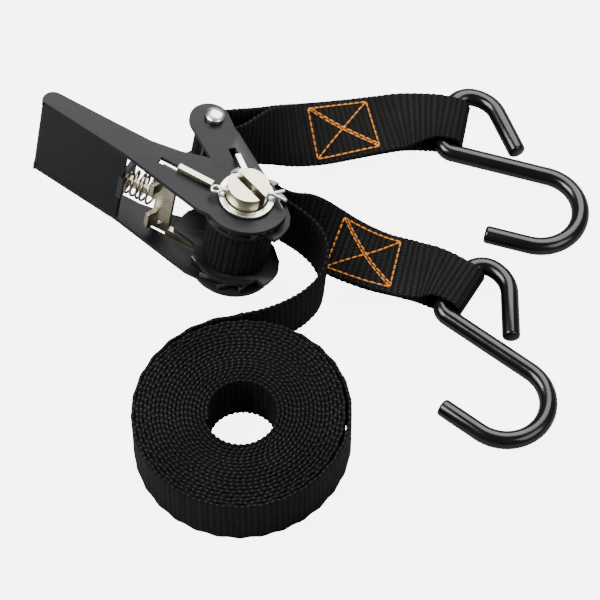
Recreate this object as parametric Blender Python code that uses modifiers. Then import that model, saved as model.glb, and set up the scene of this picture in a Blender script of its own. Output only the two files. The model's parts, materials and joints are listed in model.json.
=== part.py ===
"""One-inch ratchet tie-down: a narrow-handled ratchet buckle lying on its side, a short webbing
strap and a long one, each with an S-hook, and the long strap's spare length wound in a flat coil.

Sizes are in millimetres and MM turns them into metres. The ratchet is drawn in its own frame,
whose Z is the spool's axis, and hangs on one empty that leans it the way it lies. In that frame
angles are counted from +X, anticlockwise, and the pieces are symmetric about z = 0.
"""

import math

import bmesh
import bpy
from mathutils import Matrix, Vector

MM = 0.001

# Where everything lies on the table (origin under the middle of the whole object)
LAYOUT = Vector((-4.65, 5.04, 0.0))
HUB = Vector((-23.7, 13.4, 30.0))
SPOOL_AXIS = Vector((0.152, 0.081, 1.0)).normalized()

# Webbing
WEB_WIDTH = 25.0
WEB_THICK = 1.5
PLY_GAP = 0.4
COIL_CENTRE = (-22.0, -64.3)
COIL_OUTER = 42.0
COIL_INNER = 12.4

# Layers of the ratchet, outwards from its middle plane
PLATE = 2.0
FRAME_INNER = 13.5
WHEEL_INNER = 15.8
WHEEL_THICK = 2.6
HANDLE_INNER = 18.9
WASHER_INNER = HANDLE_INNER + PLATE + 0.3
WASHER_THICK = 1.2
SPOOL_HALF_LENGTH = 28.6
COTTER_HEIGHT = 24.3

# Spool, wheels and washers
SPOOL_RADIUS = 8.1
SPOOL_SLOT = 3.0
SPOOL_SLOT_ANGLE = -48.6
CLEARANCE = 0.35
ROLL_RADIUS = 14.0
TEETH = 12
TOOTH_TIP = 17.0
TOOTH_ROOT = 13.2
TOOTH_FACE_ANGLE = 97.2
WASHER_RADIUS = 11.0
COTTER_RADIUS = 1.15

# Frame arm and its anchor bolt
ANCHOR = (-11.9, 41.9)
ANCHOR_BOLT_RADIUS = 3.0
SLEEVE_RADIUS = 4.6
ARM_END_CENTRE = (-13.6, 41.0)
ARM_END_RADIUS = 8.1

# Drive pawl: it slides along a line beside the hub, towards the grip
DRIVE_ANGLE = 151.7
DRIVE_OFFSET = -3.0
DRIVE_SLOT = (12.6, 36.3)
PAWL_THICK = 2.3
DRIVE_CROSSBAR = (27.2, 34.8)
DRIVE_EAR = (13.2, 28.2)
DRIVE_NOSE = 15.5
SPRING_SEAT = 47.6
SPRING_RADIUS = 5.0
SPRING_WIRE = 0.45

# Lock pawl: it slides in the frame's arms
LOCK_ANGLE = 111.6
LOCK_OFFSET = 5.6
LOCK_SLOT = (13.4, 27.6)
LOCK_NOSE = 13.9
LOCK_BODY = (17.5, 22.5)
LOCK_SEAT = 31.5

# S-hooks: centre line in the hook's own plane, shank along +X from the eye's corner
WIRE_RADIUS = 3.55
SHANK_LENGTH = 43.0
HOOK_BEND = 16.75
HOOK_TIP = 25.0
EYE_CORNERS = [(-1.0, 0.0), (-2.5, 28.6), (13.0, 28.6), (28.9, 7.6)]
EYE_BENDS = [5.0, 8.0, 13.0]
LOOP_GAP = 0.85
LEG_HEIGHT = WIRE_RADIUS + LOOP_GAP + WEB_THICK + 0.35
FOLD_WIDTH = 19.4
LEG_X = -1.75
LEG_MIDDLE = 12.8
SHORT_HOOK = {"corner": (57.5, 66.3), "angle": -15.0}
LONG_HOOK = {"corner": (54.3, -9.0), "angle": -37.0}

COLOURS = {
    "black_paint": ((0.035, 0.037, 0.04), 0.35, 0.6),
    "hook_coating": ((0.012, 0.012, 0.013), 0.18, 0.1),
    "webbing": ((0.014, 0.013, 0.013), 0.9, 0.0),
    "zinc": ((0.72, 0.71, 0.66), 0.3, 1.0),
    "yellow_zinc": ((0.66, 0.60, 0.44), 0.35, 1.0),
    "spring_steel": ((0.42, 0.36, 0.28), 0.3, 1.0),
}


# ---------------------------------------------------------------- scene helpers

def clear_scene():
    for obj in list(bpy.data.objects):
        bpy.data.objects.remove(obj, do_unlink=True)


def make_collection(name):
    collection = bpy.data.collections.new(name)
    bpy.context.scene.collection.children.link(collection)
    return collection


def make_material(name):
    colour, roughness, metallic = COLOURS[name]
    material = bpy.data.materials.new(name)
    material.use_nodes = True
    shader = material.node_tree.nodes["Principled BSDF"]
    shader.inputs["Base Color"].default_value = (*colour, 1.0)
    shader.inputs["Roughness"].default_value = roughness
    shader.inputs["Metallic"].default_value = metallic
    return material


def add_empty(name, matrix, parent=None):
    empty = bpy.data.objects.new(name, None)
    parts.objects.link(empty)
    empty.parent = parent
    empty.matrix_basis = matrix
    return empty


def polar(radius, degrees):
    angle = math.radians(degrees)
    return (radius * math.cos(angle), radius * math.sin(angle))


def arc(radius, start, end, centre=(0.0, 0.0), step=6.0):
    """Points on an arc from one angle to another, both ends included."""
    count = max(1, round(abs(end - start) / step))
    points = []
    for i in range(count + 1):
        x, y = polar(radius, start + (end - start) * i / count)
        points.append((centre[0] + x, centre[1] + y))
    return points


def along(angle, distance, offset):
    """A point at a distance along a line through the hub's plan, shifted sideways by offset."""
    direction = Vector(polar(1.0, angle))
    side = Vector((direction.y, -direction.x))
    return direction * distance + side * offset


def mesh_object(name, mesh, parent, material=None, helper=False):
    obj = bpy.data.objects.new(name, mesh)
    (cutters if helper else parts).objects.link(obj)
    obj.parent = parent
    if helper:
        obj.hide_render = True
        obj.display_type = "WIRE"
    elif material:
        mesh.materials.append(materials[material])
    return obj


def shade(obj, angle=35.0):
    obj.data.shade_smooth()
    obj.data.set_sharp_from_angle(angle=math.radians(angle))


def prism(name, outline, low, high, parent, material=None, helper=False, holes=()):
    """A flat outline with a thickness, from z = low to z = high."""
    curve = bpy.data.curves.new(name, "CURVE")
    curve.dimensions = "2D"
    curve.fill_mode = "BOTH"
    curve.extrude = (high - low) / 2 * MM
    for loop in (outline, *holes):
        spline = curve.splines.new("POLY")
        spline.points.add(len(loop) - 1)
        for point, (x, y) in zip(spline.points, loop):
            point.co = (x * MM, y * MM, 0.0, 1.0)
        spline.use_cyclic_u = True
    guide = bpy.data.objects.new(name + "_guide", curve)
    bpy.context.scene.collection.objects.link(guide)
    bpy.context.view_layer.update()
    evaluated = guide.evaluated_get(bpy.context.evaluated_depsgraph_get())
    mesh = bpy.data.meshes.new_from_object(evaluated)
    bpy.data.objects.remove(guide, do_unlink=True)
    mesh.transform(Matrix.Translation((0.0, 0.0, (low + high) / 2 * MM)))
    work = bmesh.new()
    work.from_mesh(mesh)
    bmesh.ops.remove_doubles(work, verts=work.verts, dist=1e-6)
    bmesh.ops.recalc_face_normals(work, faces=work.faces)
    work.to_mesh(mesh)
    work.free()
    mesh.name = name
    return mesh_object(name, mesh, parent, material, helper)


def turned(name, profile, parent, material, steps=40, centre=(0.0, 0.0)):
    """A profile of (radius, z) points, down its outer side, spun round the Z axis.

    It is closed into a ring unless it starts and ends on the axis.
    """
    mesh = bpy.data.meshes.new(name)
    vertices = [(radius * MM, 0.0, z * MM) for radius, z in profile]
    edges = [(i, i + 1) for i in range(len(profile) - 1)]
    if profile[0][0] > 0:
        edges.append((len(profile) - 1, 0))
    mesh.from_pydata(vertices, edges, [])
    obj = mesh_object(name, mesh, parent, material)
    obj.location = (centre[0] * MM, centre[1] * MM, 0.0)
    screw = obj.modifiers.new("Turn", "SCREW")
    screw.axis = "Z"
    screw.steps = steps
    screw.render_steps = steps
    screw.use_merge_vertices = True
    screw.merge_threshold = 0.00001
    return obj


def boolean(target, other, operation):
    modifier = target.modifiers.new(other.name, "BOOLEAN")
    modifier.object = other
    modifier.operation = operation
    modifier.solver = "EXACT"


def cut(target, other):
    boolean(target, other, "DIFFERENCE")


def join(target, other):
    boolean(target, other, "UNION")


def wire(name, points, radius, parent, material, sides=2):
    """A round wire through the points, with flat ends."""
    curve = bpy.data.curves.new(name, "CURVE")
    curve.dimensions = "3D"
    curve.bevel_depth = radius * MM
    curve.bevel_resolution = sides
    curve.use_fill_caps = True
    spline = curve.splines.new("POLY")
    spline.points.add(len(points) - 1)
    for target, (x, y, z) in zip(spline.points, points):
        target.co = (x * MM, y * MM, z * MM, 1.0)
    obj = bpy.data.objects.new(name, curve)
    parts.objects.link(obj)
    obj.parent = parent
    curve.materials.append(materials[material])
    return obj


def frame_outline():
    """One side plate: a lobe round the spool, a lug towards the handle and the anchor arm."""
    lobe = arc(15.6, 172, 304) + arc(19.2, 308, 336) + [polar(18.2, 350), polar(16.3, 14)]
    right_edge = [(12.0, 8.6), (-2.3, 35.8), (-3.5, 37.2)]
    arm_end = arc(ARM_END_RADIUS, 20, 205, ARM_END_CENTRE, 9)
    left_edge = [(-12.6, 20.8)]
    lug = arc(25.4, 136, 160)
    return lobe + right_edge + arm_end + left_edge + lug


def build_frame():
    """One stamping: two side plates joined by a bridge that turns across the arms as a seat."""
    outline = frame_outline()
    outer = FRAME_INNER + PLATE
    bridge_half = outer - 0.4
    bridge = [(4.2, 22.9), (-2.6, 35.8), (-4.4, 35.0), (2.5, 22.0)]
    seat = strip(LOCK_ANGLE, LOCK_SEAT, LOCK_SEAT + PLATE, -4.2, 9.3)
    frame = prism("frame", outline, FRAME_INNER, outer, ratchet, "black_paint")
    join(frame, helper_prism("frame_lower_plate", outline, -outer, -FRAME_INNER))
    join(frame, helper_prism("frame_bridge", bridge, -bridge_half, bridge_half))
    join(frame, helper_prism("frame_spring_seat", seat, -bridge_half, bridge_half))
    reach = outer + 1.0
    spool_hole = arc(SPOOL_RADIUS + CLEARANCE, 0, 350)
    bolt_hole = arc(ANCHOR_BOLT_RADIUS + 0.3, 0, 342, ANCHOR, 18)
    slide = PAWL_THICK / 2 + 0.3
    lock_slot = strip(LOCK_ANGLE, *LOCK_SLOT, LOCK_OFFSET - slide, LOCK_OFFSET + slide)
    stem_hole = strip(LOCK_ANGLE, LOCK_SEAT - 1, LOCK_SEAT + PLATE + 1, LOCK_OFFSET - slide,
                      LOCK_OFFSET + slide)
    cut(frame, helper_prism("frame_spool_hole", spool_hole, -reach, reach))
    cut(frame, helper_prism("frame_bolt_hole", bolt_hole, -reach, reach))
    cut(frame, helper_prism("frame_lock_slot", lock_slot, -reach, reach))
    cut(frame, helper_prism("frame_stem_hole", stem_hole, -2.2, 2.2))


def build_anchor():
    """The bolt that the short strap loops round, with its spacer sleeve and nut."""
    outer = FRAME_INNER + PLATE + 0.3
    turned("anchor_bolt", [(0, 18.6), (2.7, 18.5), (3.8, 17.6), (3.8, outer),
                           (ANCHOR_BOLT_RADIUS, outer), (ANCHOR_BOLT_RADIUS, -19.0), (0, -19.0)],
           ratchet, "zinc", 24, ANCHOR)
    sleeve_half = FRAME_INNER - 0.3
    inner = ANCHOR_BOLT_RADIUS + 0.3
    turned("anchor_sleeve", [(SLEEVE_RADIUS, sleeve_half), (SLEEVE_RADIUS, -sleeve_half),
                             (inner, -sleeve_half), (inner, sleeve_half)],
           ratchet, "zinc", 24, ANCHOR)
    hexagon = arc(4.9, 0, 300, ANCHOR, 60)
    bore = arc(inner, 0, 342, ANCHOR, 18)
    prism("anchor_nut", hexagon, -outer - 2.6, -outer, ratchet, "zinc", holes=[bore])


# ---------------------------------------------------------------- handle and drive pawl

def handle_outline():
    """One side plate: a cam round the spool that is low where the lock pawl stands, and the grip."""
    low_cam = arc(12.6, -3, 118)
    shoulder = [(-11.2, 13.4), (-12.8, 16.8)]
    top_edge = [(-15.0, 17.8), (-25.0, 19.6), (-36.6, 23.4), (-54.0, 32.6), (-69.5, 41.0)]
    grip_end = arc(4.6, 60, 200, (-74.9, 38.7), 14)
    fold = [(-78.6, 37.6), (-46.1, 15.4), (-18.5, -7.6)]
    return low_cam + shoulder + top_edge + grip_end + fold + arc(17.0, 215, 336)


def grip_outline():
    """Section of the grip's web: it follows the fold line and curls in at the far end."""
    outer = [(-46.3, 15.7), (-78.3, 37.7), (-79.2, 39.2), (-79.0, 40.6)]
    inner = [(-77.1, 40.4), (-77.2, 39.3), (-45.2, 17.4)]
    return outer + inner


def build_handle():
    """One stamping: two side plates, the grip's web across them and the drive spring's seat."""
    outer = HANDLE_INNER + PLATE
    outline = handle_outline()
    slide = PAWL_THICK / 2 + 0.3
    pawl_slot = strip(DRIVE_ANGLE, *DRIVE_SLOT, DRIVE_OFFSET - slide, DRIVE_OFFSET + slide)
    seat = strip(DRIVE_ANGLE, SPRING_SEAT, SPRING_SEAT + PLATE, -8.4, 3.0)
    stem_hole = strip(DRIVE_ANGLE, SPRING_SEAT - 1, SPRING_SEAT + PLATE + 1,
                      DRIVE_OFFSET - slide, DRIVE_OFFSET + slide)
    handle = prism("handle", outline, HANDLE_INNER, outer, ratchet, "black_paint")
    join(handle, helper_prism("handle_lower_plate", outline, -outer, -HANDLE_INNER))
    join(handle, helper_prism("handle_grip", grip_outline(), 0.2 - outer, outer - 0.2))
    join(handle, helper_prism("handle_spring_seat", seat, -6.5, 6.5))
    reach = outer + 1.0
    spool_hole = arc(SPOOL_RADIUS + CLEARANCE, 0, 350)
    cut(handle, helper_prism("handle_spool_hole", spool_hole, -reach, reach))
    for side in (-1, 1):
        low, high = sorted((side * (HANDLE_INNER - 1), side * reach))
        cut(handle, helper_prism("handle_pawl_slot", pawl_slot, low, high))
    cut(handle, helper_prism("handle_stem_hole", stem_hole, -2.5, 2.5))


def build_drive_pawl():
    """A flat plate with a rail in each side plate's slot, a stem for its spring and two tabs."""
    rail = HANDLE_INNER + PLATE + 2.4
    half = [(DRIVE_CROSSBAR[0], 15.9), (DRIVE_NOSE, 15.9), (DRIVE_NOSE, 18.75),
            (DRIVE_EAR[0], 18.75), (DRIVE_EAR[0], rail), (DRIVE_EAR[1], rail),
            (DRIVE_EAR[1], 18.4), (DRIVE_CROSSBAR[1], 18.4), (DRIVE_CROSSBAR[1], 2.0),
            (SPRING_SEAT + 3.5, 2.0)]
    outline = half + [(x, -z) for x, z in reversed(half)]
    low = DRIVE_OFFSET - PAWL_THICK / 2
    high = DRIVE_OFFSET + PAWL_THICK / 2
    pawl = prism("drive_pawl", outline, low, high, drive_line, "yellow_zinc")
    nose = [along(DRIVE_ANGLE, 14.0, -1.4), along(DRIVE_ANGLE, 14.8, -4.7),
            along(DRIVE_ANGLE, 17.8, -1.4)]
    for side in (-1, 1):
        near, far = sorted((side * 15.0, side * 18.75))
        cut(pawl, helper_prism("pawl_nose", nose, near, far))
    tab_edge = DRIVE_CROSSBAR[1]
    for low_z, high_z in ((-15.0, -6.5), (6.5, 12.0)):
        tab = [along(DRIVE_ANGLE, d, s) for d, s in
               ((tab_edge - 2.3, -2.5), (tab_edge - 2.2, -6.0), (tab_edge - 0.6, -9.2),
                (tab_edge + 1.2, -8.4), (tab_edge - 0.2, -5.6), (tab_edge - 0.2, -2.5))]
        join(pawl, helper_prism("pawl_finger_tab", tab, low_z, high_z))


def helix(start, end, radius, turns, per_turn=12):
    count = round(turns * per_turn)
    points = []
    for i in range(count + 1):
        angle = 2 * math.pi * i / per_turn
        along_axis = start + (end - start) * i / count
        points.append((along_axis, radius * math.cos(angle), radius * math.sin(angle)))
    return points


def build_springs():
    """Compression springs round the two pawls' stems."""
    start, end = DRIVE_CROSSBAR[1] + 0.9, SPRING_SEAT - 0.8
    points = [(x, y, DRIVE_OFFSET + z) for x, y, z in helix(start, end, SPRING_RADIUS, 6)]
    wire("drive_spring", points, SPRING_WIRE, drive_line, "spring_steel", 1)
    start, end = LOCK_BODY[1] + 0.7, LOCK_SEAT - 0.7
    points = [(x, y, LOCK_OFFSET + z) for x, y, z in helix(start, end, 3.2, 6)]
    wire("lock_spring", points, 0.35, lock_line, "spring_steel", 1)


def build_lock_pawl():
    """A flat plate across the frame with a nose over each wheel and a stem for its spring."""
    half = [(LOCK_BODY[0], 15.7), (LOCK_NOSE, 15.7), (LOCK_NOSE, 18.5), (LOCK_BODY[1], 18.5),
            (LOCK_BODY[1], 1.8), (LOCK_SEAT + 1.2, 1.8)]
    outline = half + [(x, -z) for x, z in reversed(half)]
    prism("lock_pawl", outline, LOCK_OFFSET - PAWL_THICK / 2, LOCK_OFFSET + PAWL_THICK / 2,
          lock_line, "zinc")


# ---------------------------------------------------------------- spool

def half_moon(side, grow=0.0):
    """Section of one half of the split spool; grow widens it all round for a hole."""
    radius = SPOOL_RADIUS + grow
    flat = math.degrees(math.asin((SPOOL_SLOT / 2 - grow) / radius))
    start = SPOOL_SLOT_ANGLE + 180 * side
    return arc(radius, start + flat, start + 180 - flat, step=9)


def wheel_outline():
    """Saw teeth: each has a steep face that looks clockwise and a long slope behind it."""
    pitch = 360 / TEETH
    points = []
    for tooth in range(TEETH):
        face = TOOTH_FACE_ANGLE + tooth * pitch
        points.append(polar(TOOTH_ROOT, face))
        for turn in (0.8, 10.0, 20.0):
            radius = TOOTH_TIP - (TOOTH_TIP - TOOTH_ROOT) * turn / pitch
            points.append(polar(radius, face + turn))
    return points


def build_spool():
    """Two half-round bars, the wheels keyed to them, the washers and the split pins."""
    for side, letter in enumerate("ab"):
        bar = prism("spool_half_" + letter, half_moon(side), -SPOOL_HALF_LENGTH,
                    SPOOL_HALF_LENGTH, ratchet, "yellow_zinc")
        for level in (-COTTER_HEIGHT, COTTER_HEIGHT):
            cut(bar, cross_hole("spool_pin_hole", level))
    bars = [half_moon(side, CLEARANCE) for side in (0, 1)]
    washer_inner = SPOOL_RADIUS + CLEARANCE
    for side, word in ((1, "upper"), (-1, "lower")):
        low, high = sorted((side * WHEEL_INNER, side * (WHEEL_INNER + WHEEL_THICK)))
        prism("ratchet_wheel_" + word, wheel_outline(), low, high, ratchet, "zinc", holes=bars)
        low, high = sorted((side * WASHER_INNER, side * (WASHER_INNER + WASHER_THICK)))
        turned("washer_" + word, [(WASHER_RADIUS, high), (WASHER_RADIUS, low),
                                  (washer_inner, low), (washer_inner, high)],
               ratchet, "zinc", 36)
        level = side * COTTER_HEIGHT
        pin = [(-14.2, 2.4, level + side * 0.9), (-12.6, 1.4, level + side * 0.3),
               (-10.6, 0.3, level), (-8.5, 0.0, level), (10.4, 0.0, level),
               (12.6, -0.9, level), (14.4, -2.6, level)]
        wire("cotter_pin_" + word, pin, COTTER_RADIUS, ratchet, "zinc")


def cross_hole(name, level):
    """A round cutter through the spool along the ratchet's X."""
    mesh = bpy.data.meshes.new(name)
    work = bmesh.new()
    place = Matrix.Translation((0.0, 0.0, level * MM)) @ Matrix.Rotation(math.pi / 2, 4, "Y")
    bmesh.ops.create_cone(work, cap_ends=True, segments=16, radius1=(COTTER_RADIUS + 0.35) * MM,
                          radius2=(COTTER_RADIUS + 0.35) * MM, depth=24 * MM, matrix=place)
    work.to_mesh(mesh)
    work.free()
    return mesh_object(name, mesh, ratchet, helper=True)


# ---------------------------------------------------------------- webbing

def smooth(stations, spacing=4.0):
    """Read rows of numbers along a smooth curve through the stations (x, y, z come first)."""
    rows = [stations[0], *stations, stations[-1]]
    result = []
    for a, b, c, d in zip(rows, rows[1:], rows[2:], rows[3:]):
        length = math.dist(b[:3], c[:3])
        count = max(1, round(length / spacing))
        for i in range(count):
            t = i / count
            result.append([0.5 * (2 * q + (r - p) * t + (2 * p - 5 * q + 4 * r - s) * t * t
                                  + (3 * q - p - 3 * r + s) * t ** 3)
                           for p, q, r, s in zip(a, b, c, d)])
    return result + [list(stations[-1])]


def guide(stations):
    """Frames along a strap: (centre, tangent, across, width, half gap between its plies).

    A station is x, y, z, lean, width, half gap: lean is 0 for a flat strap and 90 for one that
    stands on its edge along the spool's axis.
    """
    rows = smooth(stations)
    centres = [Vector(row[:3]) for row in rows]
    frames = []
    for i, row in enumerate(rows):
        tangent = (centres[min(i + 1, len(rows) - 1)] - centres[max(i - 1, 0)]).normalized()
        side = Vector((-tangent.y, tangent.x, 0.0)).normalized()
        lean = math.radians(row[3])
        across = (side * math.cos(lean) + SPOOL_AXIS * math.sin(lean)).normalized()
        tangent = (tangent - across * tangent.dot(across)).normalized()
        frames.append((centres[i], tangent, across, row[4], row[5]))
    return frames


def ply(frames, side):
    """One ply's rows (centre, across * width), shifted off the guide by its half gap."""
    return [(centre + tangent.cross(across) * (side * gap), across * width)
            for centre, tangent, across, width, gap in frames]


def fold(frame, sign, steps=7):
    """The half turn round a bar at a frame, from one ply to the other (sign 1: along tangent)."""
    centre, tangent, across, width, gap = frame
    normal = tangent.cross(across)
    rows = []
    for i in range(1, steps):
        angle = math.pi * i / steps
        offset = (normal * math.cos(angle) + tangent * math.sin(angle)) * (sign * gap)
        rows.append((centre + offset, across * width))
    return rows


def webbing(name, rows, closed=False):
    """A woven strip: an open band through the rows, given its thickness by Solidify."""
    work = bmesh.new()
    pairs = []
    for centre, width in rows:
        pairs.append([work.verts.new((centre + LAYOUT + width * half) * MM)
                      for half in (-0.5, 0.5)])
    if closed:
        pairs.append(pairs[0])
    for (a, b), (c, d) in zip(pairs, pairs[1:]):
        work.faces.new((a, c, d, b))
    mesh = bpy.data.meshes.new(name)
    work.to_mesh(mesh)
    work.free()
    obj = mesh_object(name, mesh, None, "webbing")
    thickness = obj.modifiers.new("Thickness", "SOLIDIFY")
    thickness.thickness = WEB_THICK * MM
    thickness.offset = 0.0
    thickness.use_even_offset = True
    return obj


def leg_centre(hook):
    """Middle of the eye's straight leg, where the strap's loop holds the hook."""
    turn = Matrix.Rotation(math.radians(hook["angle"]), 3, "Z")
    middle = turn @ Vector((LEG_X, LEG_MIDDLE, 0.0))
    return Vector((*hook["corner"], 0.0)) + middle + Vector((0.0, 0.0, LEG_HEIGHT))


def ratchet_point(x, y, z=0.0):
    return HUB + tilt @ Vector((x, y, z))


def hook_loop(hook, heading):
    """The last stations of a strap, flat and open round the hook's leg, heading as given."""
    bar = leg_centre(hook)
    direction = Vector((*polar(1.0, heading), 0.0))
    gap = WIRE_RADIUS + LOOP_GAP + WEB_THICK / 2
    before = bar - direction * 5.0
    after = bar + direction * 2.2
    return [(*before, 0.0, FOLD_WIDTH + 1.0, gap), (*after, 0.0, FOLD_WIDTH, gap)]


def build_short_strap():
    """Both plies from the anchor bolt to the hook, one closed loop stitched along its middle."""
    half = (WEB_THICK + PLY_GAP) / 2
    bolt_gap = SLEEVE_RADIUS + 0.4 + WEB_THICK / 2
    stations = [(*ratchet_point(*ANCHOR), 90, 24.4, bolt_gap),
                (-24.0, 58.6, 27.0, 86, 24.6, 3.9),
                (-14.0, 62.2, 23.0, 70, WEB_WIDTH, 1.5),
                (-4.0, 66.0, 17.5, 48, WEB_WIDTH, half),
                (7.0, 69.8, 13.2, 27, WEB_WIDTH, half),
                (20.0, 73.6, 10.8, 13, WEB_WIDTH, half),
                (32.0, 77.2, 8.8, 7, WEB_WIDTH, half),
                (42.0, 79.8, 7.0, 2, WEB_WIDTH, 1.6)]
    frames = guide(stations + hook_loop(SHORT_HOOK, -9.0))
    rows = ply(frames, 1) + fold(frames[-1], 1) + ply(frames, -1)[::-1] + fold(frames[0], -1)
    webbing("short_strap", rows, closed=True)


def build_long_strap():
    """The long strap's working end: one ply from the spool, folded back round its hook."""
    half = (WEB_THICK + PLY_GAP) / 2
    single = [(*ratchet_point(8.4, 16.4), 90, 24.4, 0.0),
              (-5.0, 23.2, 27.3, 88, WEB_WIDTH, 0.0),
              (3.0, 21.8, 23.0, 70, WEB_WIDTH, 0.0)]
    double = [(11.0, 18.6, 16.0, 36, WEB_WIDTH, half),
              (19.0, 15.6, 12.2, 14, WEB_WIDTH, half),
              (30.0, 11.8, 9.8, 5, WEB_WIDTH, half),
              (42.0, 9.0, 8.4, 3, WEB_WIDTH, half),
              (50.0, 7.4, 6.9, 0, WEB_WIDTH - 1, 2.4)]
    loop = hook_loop(LONG_HOOK, -30.0)
    frames = guide(single + double + loop)
    folded = [frame for frame in frames if frame[0].x > double[0][0] + 1.0]
    rows = ply(frames, 1) + fold(frames[-1], 1) + ply(folded, -1)[::-1]
    webbing("long_strap", rows)


def build_tail():
    """The long strap's free length from the spool, on edge, to the coil."""
    stations = [(*ratchet_point(10.1, 11.4), 90, 24.4, 0.0),
                (-5.4, 19.0, 27.0, 90, WEB_WIDTH, 0.0),
                (1.6, 14.6, 25.0, 90, WEB_WIDTH, 0.0),
                (7.1, 8.2, 24.4, 90, WEB_WIDTH, 0.0),
                (9.6, 1.0, 21.0, 90, WEB_WIDTH, 0.0),
                (7.8, -5.8, 17.0, 90, WEB_WIDTH, 0.0),
                (2.0, -11.6, 14.2, 90, WEB_WIDTH, 0.0),
                (-5.5, -15.8, 12.7, 90, WEB_WIDTH, 0.0),
                (-14.0, -19.2, 12.5, 90, WEB_WIDTH, 0.0),
                (COIL_CENTRE[0], COIL_CENTRE[1] + COIL_OUTER + 1.15, 12.5, 90, WEB_WIDTH, 0.0)]
    frames = guide(stations)
    start_height = frames[0][0].z
    rows = []
    for centre, _, across, width, _ in frames:
        upright = (start_height - centre.z) / (start_height - WEB_WIDTH / 2)
        across = across.lerp(Vector((0.0, 0.0, 1.0)), min(1.0, upright)).normalized()
        rows.append((centre, across * width))
    webbing("strap_tail", rows)


def build_wound_webbing():
    """The turns on the spool, with the ply through its slot, and the flat coil on the table."""
    bars = [half_moon(side, CLEARANCE) for side in (0, 1)]
    circle = arc(ROLL_RADIUS, 0, 352.5, step=7.5)
    prism("strap_roll", circle, -12.4, 12.4, ratchet, "webbing", holes=bars)
    centre = (COIL_CENTRE[0] + LAYOUT.x, COIL_CENTRE[1] + LAYOUT.y)
    turned("strap_coil", [(COIL_OUTER, WEB_WIDTH), (COIL_OUTER, 0), (COIL_INNER, 0),
                          (COIL_INNER, WEB_WIDTH)], None, "webbing", 64, centre)


# ---------------------------------------------------------------- S-hooks

def rounded_path(corners, radii, step=15.0):
    """A path of straight runs whose inner corners are arcs of the given radii."""
    points = [Vector(corners[0])]
    for a, b, c, radius in zip(corners, corners[1:], corners[2:], radii):
        arrive = (Vector(b) - Vector(a)).normalized()
        leave = (Vector(c) - Vector(b)).normalized()
        turn = math.atan2(arrive.x * leave.y - arrive.y * leave.x, arrive.dot(leave))
        cut_back = radius * math.tan(abs(turn) / 2)
        start = Vector(b) - arrive * cut_back
        normal = Vector((-arrive.y, arrive.x)) * math.copysign(1, turn)
        centre = start + normal * radius
        count = max(2, round(abs(math.degrees(turn)) / step))
        for i in range(count + 1):
            spoke = start - centre
            spoke.rotate(Matrix.Rotation(turn * i / count, 2))
            points.append(centre + spoke)
    return points + [Vector(corners[-1])]


def hook_path():
    """Centre line from the eye's free end, round the eye, down the shank and round the hook."""
    eye = list(reversed(EYE_CORNERS)) + [(SHANK_LENGTH, 0.0)]
    path = rounded_path(eye, list(reversed(EYE_BENDS)))[:-1]
    bend = arc(HOOK_BEND, 90, -90, (SHANK_LENGTH, -HOOK_BEND), 15)
    run = [Vector((x, 0.0)) for x in (SHANK_LENGTH * 0.4, SHANK_LENGTH * 0.7)]
    tip = [Vector((HOOK_TIP, -2 * HOOK_BEND))]
    return path + run + [Vector(p) for p in bend] + tip


def build_hook(name, hook):
    """An S-hook hung from an empty on its leg, dipping so that its far bend meets the table."""
    leg = leg_centre(hook) + LAYOUT
    dip = math.atan2(LEG_HEIGHT - WIRE_RADIUS, SHANK_LENGTH + HOOK_BEND - LEG_X)
    lean = math.atan2(EYE_CORNERS[1][0] - EYE_CORNERS[0][0], EYE_CORNERS[1][1])
    turn = Matrix.Rotation(math.radians(hook["angle"]) - lean, 4, "Z")
    place = Matrix.Translation(leg * MM) @ turn @ Matrix.Rotation(dip, 4, "Y")
    leg_axis = add_empty(name + "_axis", place)
    spin = Matrix.Rotation(lean, 2)
    middle = Vector((LEG_X, LEG_MIDDLE))
    points = [(*(spin @ (point - middle)), 0.0) for point in hook_path()]
    wire(name, points, WIRE_RADIUS, leg_axis, "hook_coating")


# ---------------------------------------------------------------- assembly

def strip(angle, start, end, low, high):
    """A rectangle laid along a line from the hub, from one sideways offset to another."""
    return [along(angle, start, low), along(angle, end, low), along(angle, end, high),
            along(angle, start, high)]


def helper_prism(name, outline, low, high):
    return prism(name, outline, low, high, ratchet, helper=True)


def sliding_line(name, angle):
    """An empty whose X runs along a pawl's travel, Y along the spool and Z sideways."""
    x = Vector((*polar(1.0, angle), 0.0))
    y = Vector((0.0, 0.0, 1.0))
    return add_empty(name, Matrix((x, y, x.cross(y))).transposed().to_4x4(), ratchet)


clear_scene()
parts = make_collection("ratchet_strap")
cutters = make_collection("cutters")
materials = {name: make_material(name) for name in COLOURS}
tilt = Vector((0.0, 0.0, 1.0)).rotation_difference(SPOOL_AXIS).to_matrix()
ratchet = add_empty("spool_axis", Matrix.Translation((HUB + LAYOUT) * MM) @ tilt.to_4x4())
drive_line = sliding_line("drive_pawl_line", DRIVE_ANGLE)
lock_line = sliding_line("lock_pawl_line", LOCK_ANGLE)

build_frame()
build_anchor()
build_handle()
build_drive_pawl()
build_lock_pawl()
build_springs()
build_spool()
build_short_strap()
build_long_strap()
build_tail()
build_wound_webbing()
build_hook("short_strap_hook", SHORT_HOOK)
build_hook("long_strap_hook", LONG_HOOK)

for part in parts.objects:
    if part.type == "MESH" and not part.modifiers:
        shade(part)
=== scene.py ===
"""Looks of the ratchet strap: woven and sewn webbing, coated hooks, plated and painted steel.

Lengths are in millimetres in the part's own frame, and are scaled by MM when a mesh is made.
"""
import json
import math

import bmesh
import bpy
from mathutils import Matrix, Vector

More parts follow.
